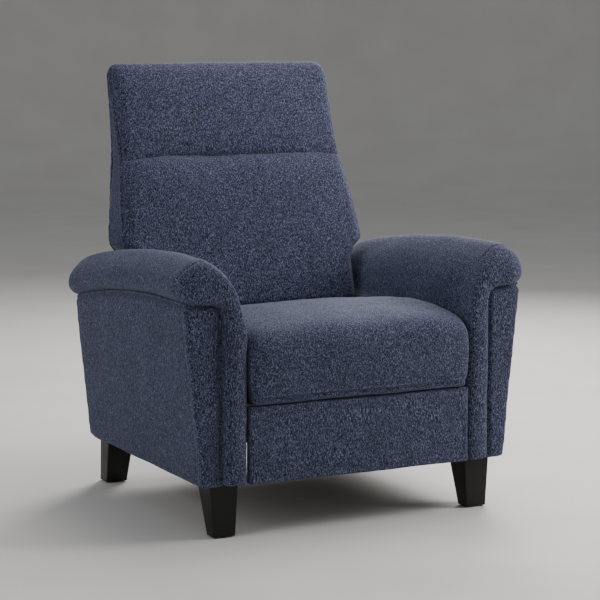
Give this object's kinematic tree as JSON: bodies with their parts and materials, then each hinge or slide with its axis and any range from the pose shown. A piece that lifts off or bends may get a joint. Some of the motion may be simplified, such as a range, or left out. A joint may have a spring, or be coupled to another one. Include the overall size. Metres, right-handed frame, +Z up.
{
  "type": "recliner armchair",
  "caption": "Upholstered push-back recliner armchair with a reclining back, a fold-out footrest on a linkage, padded arms and tapered wooden legs.",
  "frame": {"origin": "centre of the overall box, on the floor", "axes": "+Z up, the chair faces -Y, +X to the right seen from the front"},
  "size_m": [0.8722, 0.7802, 1.016],
  "materials": {
    "navy_fabric": "heathered chenille upholstery",
    "leg_wood": "satin black",
    "frame_wood": "raw sawn hardwood",
    "frame_ply": "raw plywood",
    "steel_black": "black powder coat",
    "steel_zinc": "zinc plated",
    "insert_brass": "machined",
    "glide_nylon": "moulded",
    "webbing": "woven elastic",
    "deck_felt": "pressed felt"
  },
  "bodies": {
    "base": {"leg_glides": "glide_nylon", "leg_bolts": "steel_zinc", "leg_inserts": "insert_brass", "base_rear_rail": "frame_wood", "lower_rear_panel": "navy_fabric", "base_plates": "steel_black", "base_cross_tube": "steel_black", "base_plate_screws": "steel_zinc", "swing_base_rivets": "steel_zinc", "leg_front_left": "leg_wood", "leg_rear_left": "leg_wood", "arm_frame_left": "frame_wood", "arm_pad_left": "navy_fabric", "arm_front_roll_left": "navy_fabric", "arm_front_panel_left": "navy_fabric", "arm_outer_panel_left": "navy_fabric", "arm_inner_panel_left": "navy_fabric", "arm_rear_panel_left": "navy_fabric", "leg_front_right": "leg_wood", "leg_rear_right": "leg_wood", "arm_frame_right": "frame_wood", "arm_pad_right": "navy_fabric", "arm_front_roll_right": "navy_fabric", "arm_front_panel_right": "navy_fabric", "arm_outer_panel_right": "navy_fabric", "arm_inner_panel_right": "navy_fabric", "arm_rear_panel_right": "navy_fabric"},
    "front_swing": {"front_swing_links": "steel_black"},
    "rear_swing": {"rear_swing_links": "steel_black"},
    "seat": {"seat_side_rails": "frame_wood", "seat_front_rail": "frame_wood", "seat_rear_rail": "frame_wood", "seat_springs": "steel_zinc", "seat_deck": "deck_felt", "seat_cushion": "navy_fabric", "seat_front_border": "navy_fabric", "seat_plates": "steel_black", "seat_plate_rivets": "steel_zinc", "seat_plate_screws": "steel_zinc", "back_hinge_pins": "steel_zinc"},
    "back": {"back_rear_panel": "navy_fabric", "back_frame": "frame_wood", "back_webbing": "webbing", "lower_back_cushion": "navy_fabric", "lumbar_cushion": "navy_fabric", "head_cushion": "navy_fabric", "back_brackets": "steel_black", "back_bracket_screws": "steel_zinc"},
    "lift_link": {"lift_links": "steel_black", "lift_link_rivets": "steel_zinc"},
    "guide_link": {"guide_links": "steel_black", "guide_link_rivets": "steel_zinc"},
    "thrust_link": {"thrust_links": "steel_black", "thrust_link_rivets": "steel_zinc"},
    "tilt_link": {"tilt_links": "steel_black", "tilt_link_rivets": "steel_zinc"},
    "footrest": {"footrest_pad": "navy_fabric", "footrest_board": "frame_ply", "footrest_brackets": "steel_black", "footrest_screws": "steel_zinc"}
  },
  "joints": [
    {"name": "recline_slide_front", "type": "hinge", "parent": "base", "child": "front_swing", "pos_m": [0, -0.22807, 0.15], "axis": [1, 0, 0], "range_deg": [0, 45]},
    {"name": "rear_swing_pivot", "type": "hinge", "parent": "base", "child": "rear_swing", "pos_m": [0, 0.05193, 0.15], "axis": [1, 0, 0], "range_deg": [-0.2, 45.2]},
    {"name": "seat_pivot", "type": "hinge", "parent": "front_swing", "child": "seat", "pos_m": [0, -0.19729, 0.23457], "axis": [1, 0, 0], "range_deg": [-45.2, 0.2]},
    {"name": "back_hinge", "type": "hinge", "parent": "seat", "child": "back", "pos_m": [0, 0.19693, 0.32], "axis": [-1, 0, 0], "range_deg": [0, 28]},
    {"name": "lift_pivot", "type": "hinge", "parent": "seat", "child": "lift_link", "pos_m": [0, -0.23907, 0.264], "axis": [1, 0, 0], "range_deg": [-130.7, 0.2]},
    {"name": "guide_pivot", "type": "hinge", "parent": "seat", "child": "guide_link", "pos_m": [0, -0.31807, 0.264], "axis": [1, 0, 0], "range_deg": [-130.7, 0.2]},
    {"name": "thrust_pivot", "type": "hinge", "parent": "lift_link", "child": "thrust_link", "pos_m": [0, -0.06807, 0.137], "axis": [1, 0, 0], "range_deg": [-0.2, 130.7]},
    {"name": "tilt_pivot", "type": "hinge", "parent": "lift_link", "child": "tilt_link", "pos_m": [0, -0.04854, 0.15476], "axis": [1, 0, 0], "range_deg": [-0.2, 136]},
    {"name": "footrest_pivot", "type": "hinge", "parent": "thrust_link", "child": "footrest", "pos_m": [0, -0.32242, 0.24158], "axis": [1, 0, 0], "range_deg": [-92.2, 0.2]}
  ],
  "couplings": [
    {"joint": "rear_swing_pivot", "follows": "recline_slide_front", "ratio": 1},
    {"joint": "seat_pivot", "follows": "recline_slide_front", "ratio": -1},
    {"joint": "lift_pivot", "follows": "recline_slide_front", "ratio": -2.9},
    {"joint": "guide_pivot", "follows": "recline_slide_front", "ratio": -2.9},
    {"joint": "thrust_pivot", "follows": "recline_slide_front", "ratio": 2.9},
    {"joint": "tilt_pivot", "follows": "recline_slide_front", "ratio": 3.0171},
    {"joint": "footrest_pivot", "follows": "recline_slide_front", "ratio": -2.0444}
  ]
}
